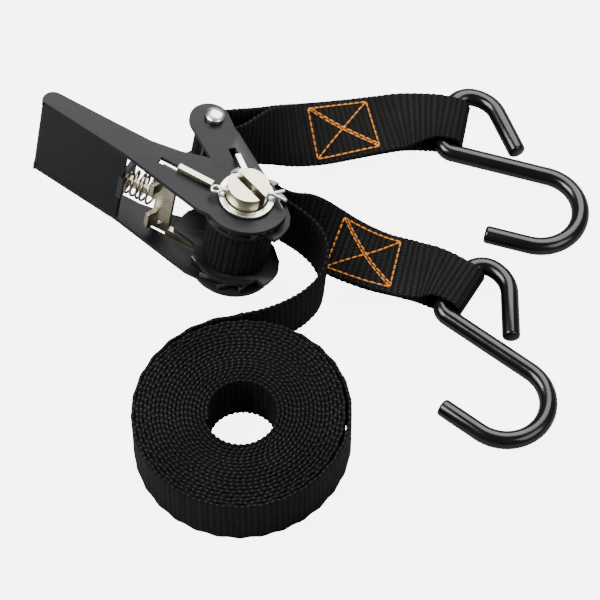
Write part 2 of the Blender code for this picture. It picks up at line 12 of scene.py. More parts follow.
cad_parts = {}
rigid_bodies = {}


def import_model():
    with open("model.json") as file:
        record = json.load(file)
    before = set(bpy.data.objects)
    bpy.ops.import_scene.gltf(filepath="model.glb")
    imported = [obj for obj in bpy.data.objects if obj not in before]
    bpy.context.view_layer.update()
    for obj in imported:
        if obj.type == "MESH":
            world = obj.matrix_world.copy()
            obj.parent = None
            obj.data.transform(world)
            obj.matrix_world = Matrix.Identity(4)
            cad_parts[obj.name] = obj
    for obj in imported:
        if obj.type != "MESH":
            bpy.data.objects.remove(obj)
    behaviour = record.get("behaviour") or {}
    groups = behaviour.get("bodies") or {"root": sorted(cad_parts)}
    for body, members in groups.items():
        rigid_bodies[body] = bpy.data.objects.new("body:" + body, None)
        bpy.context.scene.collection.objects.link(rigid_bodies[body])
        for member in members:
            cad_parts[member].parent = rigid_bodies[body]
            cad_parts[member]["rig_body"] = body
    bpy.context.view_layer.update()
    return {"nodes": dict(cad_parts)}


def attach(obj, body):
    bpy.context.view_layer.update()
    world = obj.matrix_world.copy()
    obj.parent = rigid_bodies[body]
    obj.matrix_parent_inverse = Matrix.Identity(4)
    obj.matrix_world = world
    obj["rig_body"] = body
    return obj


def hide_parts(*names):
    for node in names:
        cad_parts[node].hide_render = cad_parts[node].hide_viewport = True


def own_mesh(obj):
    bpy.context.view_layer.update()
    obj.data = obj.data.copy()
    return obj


MM = 0.001

# Where everything lies on the table
LAYOUT = Vector((-4.65, 5.04, 0.0))
HUB = Vector((-23.7, 13.4, 30.0)) + LAYOUT
SPOOL_AXIS = Vector((0.152, 0.081, 1.0)).normalized()
TILT = Vector((0.0, 0.0, 1.0)).rotation_difference(SPOOL_AXIS).to_matrix()

# Webbing
WEB_WIDTH = 25.0
WEB_THICK = 1.5
PLY_GAP = 0.4
SELVAGE_KNOT = 2.3
SELVAGE_RELIEF = 0.34
SELVAGE_SWAY = 0.26
SELVAGE_EDGE = 0.47
SELVAGE_THINNING = 0.3
RATCHET_WIDTH = 24.4
COIL_WIDTH = WEB_WIDTH - 0.5
COIL_CENTRE = Vector((-22.0, -64.3, 0.0)) + LAYOUT
COIL_OUTER = 42.0
COIL_PITCH = 1.525
COIL_TURNS = 18.3
COIL_STEPS = 140
COIL_INSET = 0.2
COIL_ARRIVAL = {"rise": 1.9, "turn": 80}
COIL_LOOSE = {"rise": 0.8, "at": 268, "spread": 42}
COIL_LOBES = [(0.3, 2, 0.7), (0.16, 3, 0.0)]
COIL_RIPPLE = 0.4
ROLL_WIDTH = 24.3
ROLL_STEPS = 48
ROLL_START = 9.6
ROLL_END = 13.1
ROLL_TURNS = 2.3
SPOOL_SLOT_ANGLE = -48.6

# Sewing
THREAD = 0.34
STITCH = 2.7
STITCH_SPAN = (0.07, 0.93)
STITCH_RISE = 0.26
STITCH_SINK = 0.16
STITCH_POINTS = 5
BOX_LENGTH = 26.0
BOX_WIDTH = 20.5
SHORT_BOX_START = 45.3
LONG_BOX_START = 0.3

# Hooks
WIRE_RADIUS = 3.55
TIP_ROUND = 1.3
SHANK_LENGTH = 43.0
HOOK_BEND = 16.75
HOOK_TIP = 25.0
EYE_CORNERS = [(-1.0, 0.0), (-2.5, 28.6), (13.0, 28.6), (28.9, 7.6)]
EYE_BENDS = [5.0, 8.0, 13.0]
LOOP_GAP = 0.85
LEG_HEIGHT = WIRE_RADIUS + LOOP_GAP + WEB_THICK + 0.35
FOLD_WIDTH = 19.4
LEG_X = -1.75
LEG_MIDDLE = 12.8
SHORT_HOOK = {"corner": (57.5, 66.3), "angle": -15.0}
LONG_HOOK = {"corner": (54.3, -9.0), "angle": -37.0}

# Ratchet
ANCHOR = (-11.9, 41.9)
SLEEVE_RADIUS = 4.6
DRIVE_ANGLE = 151.7
DRIVE_OFFSET = -3.0
LOCK_ANGLE = 111.6
LOCK_OFFSET = 5.6
PAWL_EAR = {"run": (14.5, 21.0, 26.9), "level": 21.95, "radius": 1.3}
PAWL_DIMPLE = {"place": 31.0, "level": 13.5, "depths": (0.6, 1.0), "radius": 1.5}
COTTER_HEIGHT = 24.3
COTTER_WIRE = 0.72
COTTER_LEGS = {"a": [(-9.4, 0.25), (9.6, 0.25), (11.6, 0.9), (14.0, 2.0)],
               "b": [(-9.4, -0.25), (9.6, -0.25), (11.8, -1.1), (14.4, -2.6)]}
COTTER_EYE = {"centre": -12.0, "stretch": 1.25, "radius": 1.45, "wire": 0.62}
DRIVE_SPRING = {"start": 35.7, "end": 46.8, "radius": 5.0, "wire": 0.5, "turns": 5, "travel": 6.0}
LOCK_SPRING = {"start": 23.2, "end": 30.8, "radius": 3.2, "wire": 0.38, "turns": 6, "travel": 4.0}
SPRING_CLOSING = 0.03

# Studio: a long lens that looks down at the table from the front, and soft lights
CAMERA_DISTANCE = 1300.0
CAMERA_ELEVATION = 58.587
CAMERA_LENS = 198.9
LIGHTS = [("Key", (-0.45, -0.05, 0.6), 0.40, 8.0),
          ("Back", (0.22, 0.58, 0.66), 0.75, 13.0),
          ("Fill", (0.6, -0.4, 0.6), 0.5, 3.5)]
SKY_STRENGTH = 0.20
TABLE_SIZE = 3.0
TABLE_GLOW = 6.0


# ---------------------------------------------------------------- small geometry

def polar(radius, degrees):
    angle = math.radians(degrees)
    return (radius * math.cos(angle), radius * math.sin(angle))


def arc(radius, start, end, centre=(0.0, 0.0), step=5.0):
    """Points on an arc from one angle to another, both ends included."""
    count = max(1, round(abs(end - start) / step))
    points = []
    for i in range(count + 1):
        x, y = polar(radius, start + (end - start) * i / count)
        points.append((centre[0] + x, centre[1] + y))
    return points


def ratchet_point(x, y, z=0.0):
    """A point given in the ratchet's own axes: Z runs along the spool."""
    return HUB + TILT @ Vector((x, y, z))


def line_point(angle, distance, offset, z=0.0):
    """A ratchet point at a distance along a pawl's line, shifted sideways by offset."""
    direction = Vector(polar(1.0, angle))
    side = Vector((direction.y, -direction.x))
    place = direction * distance + side * offset
    return ratchet_point(place.x, place.y, z)


def table_point(x, y, z):
    return Vector((x, y, z)) + LAYOUT


def finish_mesh(name, work, body, material, smooth_angle=40.0):
    """Turns a bmesh in millimetres into a smooth-shaded piece that rides on a body."""
    bmesh.ops.recalc_face_normals(work, faces=work.faces)
    bmesh.ops.scale(work, vec=(MM, MM, MM), verts=work.verts)
    mesh = bpy.data.meshes.new(name)
    work.to_mesh(mesh)
    work.free()
    mesh.shade_smooth()
    mesh.set_sharp_from_angle(angle=math.radians(smooth_angle))
    obj = bpy.data.objects.new(name, mesh)
    bpy.context.scene.collection.objects.link(obj)
    mesh.materials.append(material)
    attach(obj, body)
    return obj


# ---------------------------------------------------------------- materials

class Graph:
    """A material's node tree with short calls for adding and linking nodes."""

    def __init__(self, name):
        self.material = bpy.data.materials.new(name)
        self.material.use_nodes = True
        self.tree = self.material.node_tree
        self.shader = self.tree.nodes["Principled BSDF"]

    def set(self, node, **sockets):
        for key, value in sockets.items():
            socket = node.inputs[int(key[1:]) if key[0] == "_" else key.replace("_", " ")]
            if isinstance(value, bpy.types.NodeSocket):
                self.tree.links.new(value, socket)
            else:
                socket.default_value = value

    def add(self, kind, settings=None, **sockets):
        node = self.tree.nodes.new("ShaderNode" + kind)
        for key, value in (settings or {}).items():
            setattr(node, key, value)
        self.set(node, **sockets)
        return node

    def maths(self, operation, a, b=0.0):
        return self.add("Math", {"operation": operation}, _0=a, _1=b).outputs[0]

    def noise(self, scale, detail=3.0, vector=None):
        place = vector or self.add("TexCoord").outputs["Object"]
        return self.add("TexNoise", Vector=place, Scale=scale, Detail=detail).outputs["Fac"]

    def ramp(self, value, stops):
        """A colour ramp; stops are (position, colour or grey)."""
        node = self.add("ValToRGB", Fac=value)
        elements = node.color_ramp.elements
        while len(elements) < len(stops):
            elements.new(0.5)
        for element, (position, colour) in zip(elements, stops):
            element.position = position
            red, green, blue = colour if isinstance(colour, tuple) else (colour,) * 3
            element.color = (red, green, blue, 1.0)
        return node.outputs["Color"]

    def bump(self, height, strength, distance_mm, before=None):
        node = self.add("Bump", Height=height, Strength=strength, Distance=distance_mm * MM)
        if before:
            self.set(node, Normal=before)
        return node.outputs["Normal"]


def black_paint():
    """Satin black paint: fine orange peel, dust in patches, and edges painted lighter for thin
    paint and a painted edge highlight.
    """
    g = Graph("black_paint")
    patches = g.noise(90.0, 4.0)
    colour = g.ramp(patches, [(0.35, (0.0045, 0.005, 0.0055)), (0.7, (0.008, 0.0088, 0.0093))])
    # Convex edges are painted lighter: thin paint there, and a painted edge highlight standing in
    # for light on the sheared edges.
    edges = g.add("NewGeometry").outputs["Pointiness"]
    edge_highlight_and_thin_paint = g.ramp(edges, [(0.52, 0.0), (0.60, 1.0)])
    mixed = g.add("MixRGB", Fac=edge_highlight_and_thin_paint, Color1=colour, Color2=(0.045, 0.047, 0.049, 1.0))
    peel = g.bump(g.noise(1800.0, 2.0), 0.12, 0.05)
    g.set(g.shader, Base_Color=mixed.outputs[0], Metallic=0.0, Normal=peel,
          Roughness=g.ramp(patches, [(0.3, 0.30), (0.75, 0.42)]))
    g.set(g.shader, Specular_IOR_Level=0.14)
    return g.material


def hook_coating():
    """Thick glossy black dip: a soft swell from the dipping and a few dull specks."""
    g = Graph("hook_coating")
    swell = g.bump(g.noise(140.0, 1.0), 0.2, 0.4)
    fine = g.bump(g.noise(2600.0, 2.0), 0.03, 0.02, swell)
    dull = g.ramp(g.noise(90.0, 3.0), [(0.45, 0.17), (0.72, 0.24)])
    g.set(g.shader, Base_Color=g.ramp(g.noise(60.0), [(0.3, 0.0015), (0.8, 0.004)]),
          Roughness=dull, Normal=fine)
    g.set(g.shader, Specular_IOR_Level=0.45)
    return g.material


def webbing():
    """Black polyester webbing: rows of thick yarn across it, each a chain of slanted knots."""
    g = Graph("webbing")
    row, knot = 2.3 * MM, 1.05 * MM
    place = g.add("SeparateXYZ", Vector=g.add("UVMap", {"uv_map": "strap"}).outputs[0])
    lengthwise, crosswise = place.outputs[0], place.outputs[1]
    rows = g.maths("DIVIDE", lengthwise, row)
    slant = g.maths("PINGPONG", rows, 1.0)
    knots = g.maths("ADD", g.maths("DIVIDE", crosswise, knot), g.maths("MULTIPLY", slant, 1.3))
    across_row = g.maths("ABSOLUTE", g.maths("SINE", g.maths("MULTIPLY", rows, math.pi)))
    along_row = g.maths("ABSOLUTE", g.maths("SINE", g.maths("MULTIPLY", knots, math.pi)))
    yarn = g.maths("MULTIPLY", g.maths("POWER", across_row, 0.6), g.maths("POWER", along_row, 0.7))
    fuzz = g.noise(2600.0, 2.0)
    height = g.maths("ADD", yarn, g.maths("MULTIPLY", fuzz, 0.22))
    # Colour follows the yarn's height: tops painted lighter as a painted highlight, hollows
    # between rows and knots painted darker as painted shade.
    colour = g.ramp(yarn, [(0.2, 0.0008), (0.65, 0.004), (1.0, 0.018)])
    wear = g.ramp(g.noise(55.0, 3.0), [(0.4, 0.7), (0.7, 1.25)])
    tinted = g.add("MixRGB", {"blend_type": "MULTIPLY"}, Fac=1.0, Color1=colour, Color2=wear)
    g.set(g.shader, Base_Color=tinted.outputs[0], Normal=g.bump(height, 1.0, 0.55),
          Roughness=g.ramp(fuzz, [(0.3, 0.60), (0.7, 0.78)]))
    g.set(g.shader, Specular_IOR_Level=0.14)
    return g.material


def stitching():
    """Orange thread with its twist, the twist's grooves painted darker as painted shade and its
    ridges lighter as a painted highlight.
    """
    g = Graph("stitching")
    place = g.add("TexCoord").outputs["Object"]
    twist = g.add("TexWave", {"bands_direction": "DIAGONAL"}, Vector=place, Scale=900.0)
    # Painted shade in the twist's grooves and a painted highlight on its ridges, following the
    # same wave as the bump.
    twist_painted_shade = g.ramp(twist.outputs["Fac"], [(0.1, (0.45, 0.13, 0.008)), (0.8, (0.78, 0.27, 0.02))])
    g.set(g.shader, Base_Color=twist_painted_shade, Normal=g.bump(twist.outputs["Fac"], 0.4, 0.08),
          Roughness=g.ramp(g.noise(900.0), [(0.3, 0.5), (0.8, 0.65)]))
    return g.material


def plated(name, light, dark, rough):
    """Zinc plating over rolled or turned steel: cloudy colour, fine scratches, uneven gloss."""
    g = Graph(name)
    clouds = g.noise(130.0, 4.0)
    place = g.add("TexCoord").outputs["Object"]
    stretched = g.add("Mapping", Vector=place, Scale=(2600.0, 2600.0, 220.0)).outputs[0]
    scratches = g.noise(1.0, 2.0, stretched)
    g.set(g.shader, Base_Color=g.ramp(clouds, [(0.32, dark), (0.68, light)]), Metallic=1.0,
          Roughness=g.ramp(clouds, [(0.3, rough - 0.06), (0.75, rough + 0.10)]),
          Normal=g.bump(scratches, 0.18, 0.04))
    return g.material


# ---------------------------------------------------------------- metal parts

def refine(node, width, slot_name, look=None, segments=2):
    """Stands for a CAD node with the same shape whose sharp edges are rolled over."""
    work = bmesh.new()
    work.from_mesh(frame["nodes"][node].data)
    bmesh.ops.remove_doubles(work, verts=work.verts, dist=1e-6)
    bmesh.ops.scale(work, vec=(1 / MM, 1 / MM, 1 / MM), verts=work.verts)
    body = frame["nodes"][node]["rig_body"]
    piece = finish_mesh(node + "_finished", work, body, materials[look or slot_name],
                        180.0)
    bevel = piece.modifiers.new("Rolled edges", "BEVEL")
    bevel.width = width * MM
    bevel.segments = segments
    bevel.limit_method = "ANGLE"
    bevel.angle_limit = math.radians(38)
    flats = piece.modifiers.new("Flat faces", "WEIGHTED_NORMAL")
    flats.weight = 100
    flats.keep_sharp = False
    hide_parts(node)
    return piece


def tube(name, points, radius, body, slot_name, sides=20, dome=None):
    """A round wire through the points; its ends are rounded over by dome, or are half balls."""
    dome = dome or radius
    count = len(points)
    tangents = []
    for i in range(count):
        ahead = points[min(i + 1, count - 1)] - points[max(i - 1, 0)]
        tangents.append(ahead.normalized())
    run = [(point, tangent, radius) for point, tangent in zip(points, tangents)]
    corner = [(dome * math.sin(math.radians(a)), radius - dome * (1 - math.cos(math.radians(a))))
              for a in (22, 44, 66, 84)]
    start = [(points[0] - tangents[0] * out, tangents[0], size) for out, size in corner]
    end = [(points[-1] + tangents[-1] * out, tangents[-1], size) for out, size in corner]
    rings = start[::-1] + run + end
    work = bmesh.new()
    side = tangents[0].orthogonal().normalized()
    loops = []
    for centre, tangent, size in rings:
        side = (side - tangent * side.dot(tangent)).normalized()
        other = tangent.cross(side)
        loops.append([work.verts.new(centre + (side * math.cos(2 * math.pi * k / sides)
                                               + other * math.sin(2 * math.pi * k / sides)) * size)
                      for k in range(sides)])
    for near, far in zip(loops, loops[1:]):
        for k in range(sides):
            work.faces.new((near[k], near[(k + 1) % sides], far[(k + 1) % sides], far[k]))
    work.faces.new(loops[0][::-1])
    work.faces.new(loops[-1])
    return finish_mesh(name, work, body, materials[slot_name])


def rounded_path(corners, radii, step=6.0):
    """A path of straight runs whose inner corners are arcs of the given radii."""
    points = [Vector(corners[0])]
    for a, b, c, radius in zip(corners, corners[1:], corners[2:], radii):
        arrive = (Vector(b) - Vector(a)).normalized()
        leave = (Vector(c) - Vector(b)).normalized()
        turn = math.atan2(arrive.x * leave.y - arrive.y * leave.x, arrive.dot(leave))
        start = Vector(b) - arrive * radius * math.tan(abs(turn) / 2)
        centre = start + Vector((-arrive.y, arrive.x)) * math.copysign(radius, turn)
        count = max(2, round(abs(math.degrees(turn)) / step))
        for i in range(count + 1):
            spoke = start - centre
            spoke.rotate(Matrix.Rotation(turn * i / count, 2))
            points.append(centre + spoke)
    return points + [Vector(corners[-1])]


def hook_path():
    """Centre line from the eye's free end, round the eye, down the shank and round the hook."""
    eye = list(reversed(EYE_CORNERS)) + [(SHANK_LENGTH, 0.0)]
    path = rounded_path(eye, list(reversed(EYE_BENDS)))[:-1]
    run = [Vector((SHANK_LENGTH * share, 0.0)) for share in (0.25, 0.4, 0.55, 0.7, 0.85)]
    bend = arc(HOOK_BEND, 90, -90, (SHANK_LENGTH, -HOOK_BEND))
    tip = [Vector((HOOK_TIP, -2 * HOOK_BEND))]
    return path + run + [Vector(p) for p in bend] + tip


def leg_centre(hook):
    """Middle of the eye's straight leg, where the strap's loop holds the hook."""
    turn = Matrix.Rotation(math.radians(hook["angle"]), 3, "Z")
    middle = turn @ Vector((LEG_X, LEG_MIDDLE, 0.0))
    return table_point(*hook["corner"], LEG_HEIGHT) + middle


def build_hook(node, hook, body):
    """An S-hook of coated wire, dipping so that its far bend meets the table."""
    dip = math.atan2(LEG_HEIGHT - WIRE_RADIUS, SHANK_LENGTH + HOOK_BEND - LEG_X)
    lean = math.atan2(EYE_CORNERS[1][0] - EYE_CORNERS[0][0], EYE_CORNERS[1][1])
    turn = Matrix.Rotation(math.radians(hook["angle"]) - lean, 4, "Z")
    place = Matrix.Translation(leg_centre(hook)) @ turn @ Matrix.Rotation(dip, 4, "Y")
    spin = Matrix.Rotation(lean, 2)
    middle = Vector((LEG_X, LEG_MIDDLE))
    points = [place @ Vector((*(spin @ (point - middle)), 0.0)) for point in hook_path()]
    points[0] += (points[1] - points[0]).normalized() * TIP_ROUND
    points[-1] += (points[-2] - points[-1]).normalized() * TIP_ROUND
    piece = tube(node + "_coated", points, WIRE_RADIUS, body, "hook_coating", 28,
                 dome=TIP_ROUND)
    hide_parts(node)


def build_spring(node, angle, offset, spring, body):
    """A compression spring of round wire wound along a pawl's line."""
    per_turn = 24
    count = spring["turns"] * per_turn
    length = spring["end"] - spring["start"]
    points = []
    for i in range(count + 1):
        share = i / count
        eased = share - math.sin(4 * math.pi * share) * SPRING_CLOSING
        turn = 2 * math.pi * i / per_turn
        points.append(line_point(angle, spring["start"] + length * eased,
                                 offset + spring["radius"] * math.sin(turn),
                                 spring["radius"] * math.cos(turn)))
    piece = tube(node + "_wire", points, spring["wire"], body, "spring_steel", 10)
    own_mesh(piece)
    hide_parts(node)


def build_pawl_details():
    """The rolled ears in the handle's slots and the raised dimple on each end of the crossbar."""
    for side, word in ((1, "upper"), (-1, "lower")):
        ear = [line_point(DRIVE_ANGLE, place, DRIVE_OFFSET, side * PAWL_EAR["level"])
               for place in PAWL_EAR["run"]]
        tube("pawl_ear_" + word, ear, PAWL_EAR["radius"], "drive_pawl", "zinc", 16)
        dimple = [line_point(DRIVE_ANGLE, PAWL_DIMPLE["place"], DRIVE_OFFSET - depth,
                             side * PAWL_DIMPLE["level"])
                  for depth in PAWL_DIMPLE["depths"]]
        tube("pawl_dimple_" + word, dimple, PAWL_DIMPLE["radius"], "drive_pawl", "zinc", 20)


def build_cotter_pins():
    """Split pins of half-round wire: a loop at one end, two legs bent apart at the other."""
    for side, word in ((1, "upper"), (-1, "lower")):
        level = side * COTTER_HEIGHT
        loop = [ratchet_point(COTTER_EYE["centre"] + x * COTTER_EYE["stretch"], y, level)
                for x, y in arc(COTTER_EYE["radius"], 20, 340, step=20)]
        head = tube("cotter_eye_" + word, loop, COTTER_EYE["wire"], "spool", "zinc", 12)
        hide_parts("cotter_pin_" + word)
        for letter, leg in COTTER_LEGS.items():
            points = [ratchet_point(x, y, level) for x, y in leg]
            tube("cotter_leg_" + letter + "_" + word, points, COTTER_WIRE, "spool", "zinc", 12)


# ---------------------------------------------------------------- webbing

def smooth(stations, spacing=1.15):
    """Read rows of numbers along a smooth curve through the stations (x, y, z come first)."""
    rows = [stations[0], *stations, stations[-1]]
    result = []
    for a, b, c, d in zip(rows, rows[1:], rows[2:], rows[3:]):
        count = max(1, round(math.dist(b[:3], c[:3]) / spacing))
        for i in range(count):
            t = i / count
            result.append([0.5 * (2 * q + (r - p) * t + (2 * p - 5 * q + 4 * r - s) * t * t
                                  + (3 * q - p - 3 * r + s) * t ** 3)
                           for p, q, r, s in zip(a, b, c, d)])
    return result + [list(stations[-1])]


def guide(stations):
    """Frames along a strap: (centre, tangent, across, width, half gap between its plies).

    A station is x, y, z, lean, width, half gap: lean is 0 for a flat strap and 90 for one that
    stands on its edge along the spool's axis.
    """
    rows = smooth(stations)
    centres = [Vector(row[:3]) for row in rows]
    frames = []
    for i, row in enumerate(rows):
        tangent = (centres[min(i + 1, len(rows) - 1)] - centres[max(i - 1, 0)]).normalized()
        side = Vector((-tangent.y, tangent.x, 0.0)).normalized()
        lean = math.radians(row[3])
        across = (side * math.cos(lean) + SPOOL_AXIS * math.sin(lean)).normalized()
        tangent = (tangent - across * tangent.dot(across)).normalized()
        frames.append((centres[i], tangent, across, row[4], row[5]))
    return frames


def ply(frames, side):
    """One ply's rows (centre, across * width), shifted off the guide by its half gap."""
    return [(centre + tangent.cross(across) * (side * gap), across * width)
            for centre, tangent, across, width, gap in frames]


def fold(frame_row, sign, steps=16):
    """The half turn round a bar at a frame, from one ply to the other (sign 1: along tangent)."""
    centre, tangent, across, width, gap = frame_row
    normal = tangent.cross(across)
    rows = []
    for i in range(1, steps):
        angle = math.pi * i / steps
        offset = normal * math.cos(angle) * sign * gap + tangent * math.sin(angle) * sign * gap
        rows.append((centre + offset, across * width))
    return rows


def section():
    """Half of the webbing's section, (share of the width, share of half the thickness)."""
    side = [(-0.5, 0.0), (-0.495, 0.55), (-0.48, 0.88), (-0.455, 1.0)]
    middle = [(share / 20, 1.0) for share in (-6, -3, 0, 3, 6)]
    return side + middle + [(-x, y) for x, y in reversed(side)]


def band(name, rows, body, closed=False):
    """A woven band through the rows, with rounded selvages and its weave's coordinates."""
    outline = section() + [(x, -y) for x, y in reversed(section()[1:-1])]
    sides = len(outline)
    work = bmesh.new()
    weave = work.loops.layers.uv.new("strap")
    count = len(rows)
    loops = []
    lengths = [0.0]
    for i, (centre, width) in enumerate(rows):
        before = rows[i - 1 if i or closed else 0][0]
        after = rows[(i + 1) % count if closed else min(i + 1, count - 1)][0]
        normal = (after - before).cross(width).normalized()
        if i:
            lengths.append(lengths[-1] + (centre - rows[i - 1][0]).length)
        knot = SELVAGE_RELIEF * abs(math.sin(math.pi * lengths[-1] / SELVAGE_KNOT))
        edge = width.normalized() * knot
        sway = normal * SELVAGE_SWAY * math.sin(2 * math.pi * lengths[-1] / SELVAGE_KNOT)
        half_thick = WEB_THICK / 2 - SELVAGE_THINNING * knot
        ring = []
        for x, y in outline:
            place = centre + width * x + normal * (y * half_thick)
            if abs(x) > SELVAGE_EDGE:
                place += edge * math.copysign(1.0, x) + sway
            ring.append(work.verts.new(place))
        loops.append(ring)
    pairs = list(zip(range(count), range(1, count)))
    if closed:
        pairs.append((count - 1, 0))
        lengths.append(lengths[-1] + (rows[0][0] - rows[-1][0]).length)
    for near, far in pairs:
        start, end = lengths[near], lengths[far if far else count]
        for k in range(sides):
            j = (k + 1) % sides
            face = work.faces.new((loops[near][k], loops[near][j], loops[far][j], loops[far][k]))
            places = ((start, k), (start, j), (end, j), (end, k))
            for corner, (distance, at) in zip(face.loops, places):
                corner[weave].uv = (distance * MM, outline[at][0] * WEB_WIDTH * MM)
    if not closed:
        work.faces.new(loops[0][::-1])
        work.faces.new(loops[-1])
    piece = finish_mesh(name, work, body, materials["webbing"], 60.0)
    return piece, lengths[-1]


def hook_loop(hook, heading):
    """The last stations of a strap, flat and open round the hook's leg, heading as given."""
    bar = leg_centre(hook) - LAYOUT
    direction = Vector((*polar(1.0, heading), 0.0))
    gap = WIRE_RADIUS + LOOP_GAP + WEB_THICK / 2
    return [(*(bar - direction * 5.0), 0.0, FOLD_WIDTH + 1.0, gap),
            (*(bar + direction * 2.2), 0.0, FOLD_WIDTH, gap)]


def on_table(frames):
    return [(frame_row[0] + LAYOUT, *frame_row[1:]) for frame_row in frames]


def from_hub(x, y):
    """A station's place at a ratchet point, before the layout is added."""
    return ratchet_point(x, y) - LAYOUT


def box_stitch(name, frames, start, body):
    """The sewn rectangle and its crossed diagonals, on both faces of the doubled webbing."""
    half = BOX_WIDTH / 2
    corners = [(0.0, -half), (BOX_LENGTH, -half), (BOX_LENGTH, half), (0.0, half)]
    runs = list(zip(corners, corners[1:] + corners[:1]))
    runs += [(corners[0], corners[2]), (corners[1], corners[3])]
    runs.append(((1.8, half - 0.2), (BOX_LENGTH - 0.3, -half + 1.5)))
    stations = [0.0]
    for a, b in zip(frames, frames[1:]):
        stations.append(stations[-1] + (b[0] - a[0]).length)

    def surface(u, v, face, lift):
        at = start + u
        i = max(k for k, distance in enumerate(stations[:-1]) if distance <= at)
        share = (at - stations[i]) / (stations[i + 1] - stations[i])
        here, there = frames[i], frames[i + 1]
        across = here[2].lerp(there[2], share).normalized()
        normal = here[1].cross(across).normalized()
        height = here[4] + (there[4] - here[4]) * share + WEB_THICK / 2 + lift
        return here[0].lerp(there[0], share) + across * v + normal * (face * height)

    work = bmesh.new()
    for face in (1, -1):
        for (u0, v0), (u1, v1) in runs:
            length = math.dist((u0, v0), (u1, v1))
            count = round(length / STITCH)
            for i in range(count):
                first, last = ((i + end) / count for end in STITCH_SPAN)
                points = []
                for k in range(STITCH_POINTS):
                    along = k / (STITCH_POINTS - 1)
                    share = first + (last - first) * along
                    lift = STITCH_RISE * math.sin(math.pi * along) - STITCH_SINK
                    points.append(surface(u0 + (u1 - u0) * share, v0 + (v1 - v0) * share,
                                          face, lift))
                add_thread(work, points)
    finish_mesh(name, work, body, materials["stitching"], 80.0)


def add_thread(work, points, sides=6):
    """One stitch: a short round thread that is narrow where it enters the webbing."""
    loops = []
    last = len(points) - 1
    for i, point in enumerate(points):
        tangent = (points[min(i + 1, last)] - points[max(i - 1, 0)]).normalized()
        side = tangent.orthogonal().normalized()
        other = tangent.cross(side)
        radius = THREAD * (0.6 if i in (0, last) else 1.0)
        loops.append([work.verts.new(point + side * radius * math.cos(2 * math.pi * k / sides)
                                     + other * radius * math.sin(2 * math.pi * k / sides))
                      for k in range(sides)])
    for near, far in zip(loops, loops[1:]):
        for k in range(sides):
            j = (k + 1) % sides
            work.faces.new((near[k], near[j], far[j], far[k]))
    work.faces.new(loops[0][::-1])
    work.faces.new(loops[-1])


def build_short_strap():
    """Both plies from the anchor bolt to the hook, one closed loop stitched along its middle."""
    half = (WEB_THICK + PLY_GAP) / 2
    bolt_gap = SLEEVE_RADIUS + 0.4 + WEB_THICK / 2
    stations = [(*from_hub(*ANCHOR), 90, RATCHET_WIDTH, bolt_gap),
                (-24.0, 58.6, 27.0, 86, 24.6, 3.9),
                (-14.0, 62.2, 23.0, 70, WEB_WIDTH, 1.5),
                (-4.0, 66.0, 17.5, 48, WEB_WIDTH, half),
                (7.0, 69.8, 13.2, 27, WEB_WIDTH, half),
                (20.0, 73.6, 10.8, 13, WEB_WIDTH, half),
                (32.0, 77.2, 8.8, 7, WEB_WIDTH, half),
                (42.0, 79.8, 7.0, 2, WEB_WIDTH, 1.6)]
    frames = on_table(guide(stations + hook_loop(SHORT_HOOK, -9.0)))
    rows = ply(frames, 1) + fold(frames[-1], 1) + ply(frames, -1)[::-1] + fold(frames[0], -1)
    piece, length = band("short_strap_webbing", rows, "frame", closed=True)
    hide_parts("short_strap")
    box_stitch("short_strap_stitches", frames, SHORT_BOX_START, "frame")


def build_long_strap():
    """The long strap's working end: one ply from the spool, folded back round its hook."""
    half = (WEB_THICK + PLY_GAP) / 2
    single = [(*from_hub(8.4, 16.4), 90, RATCHET_WIDTH, 0.0),
              (-5.0, 23.2, 27.3, 88, WEB_WIDTH, 0.0),
              (3.0, 21.8, 23.0, 70, WEB_WIDTH, 0.0)]
    double = [(11.0, 18.6, 16.0, 36, WEB_WIDTH, half),
              (19.0, 15.6, 12.2, 14, WEB_WIDTH, half),
              (30.0, 11.8, 9.8, 5, WEB_WIDTH, half),
              (42.0, 9.0, 8.4, 3, WEB_WIDTH, half),
              (50.0, 7.4, 6.9, 0, WEB_WIDTH - 1, 2.4)]
    frames = on_table(guide(single + double + hook_loop(LONG_HOOK, -30.0)))
    folded = [row for row in frames if row[0].x > double[0][0] + 1.0 + LAYOUT.x]
    rows = ply(frames, 1) + fold(frames[-1], 1) + ply(folded, -1)[::-1]
    piece, length = band("long_strap_webbing", rows, "frame")
    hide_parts("long_strap")
    box_stitch("long_strap_stitches", folded, LONG_BOX_START, "frame")


def coil_rows():
    """The flat coil from its outer turn inwards, anticlockwise, a little out of round."""
    outside = COIL_OUTER - WEB_THICK / 2 - COIL_INSET
    rows = []
    for i in range(1, round(COIL_TURNS * COIL_STEPS)):
        turned = 360 * i / COIL_STEPS
        heading = math.radians(90 + turned)
        radius = outside - COIL_PITCH * i / COIL_STEPS
        arriving = COIL_ARRIVAL["rise"] * max(0.0, 1 - turned / COIL_ARRIVAL["turn"]) ** 2
        past = (turned - COIL_LOOSE["at"]) / COIL_LOOSE["spread"]
        loose = COIL_LOOSE["rise"] * math.exp(-past ** 2)
        uneven = sum(size * math.sin(lobes * heading + phase)
                     for size, lobes, phase in COIL_LOBES)
        reach = radius + arriving + loose + uneven * radius / COIL_OUTER
        ripple = COIL_RIPPLE * min(1.0, turned / 120) * (1 + math.sin(heading * 0.93 + 1.0))
        centre = COIL_CENTRE + Vector((reach * math.cos(heading), reach * math.sin(heading),
                                       WEB_WIDTH / 2 + ripple))
        rows.append((centre, Vector((0.0, 0.0, COIL_WIDTH))))
    return rows


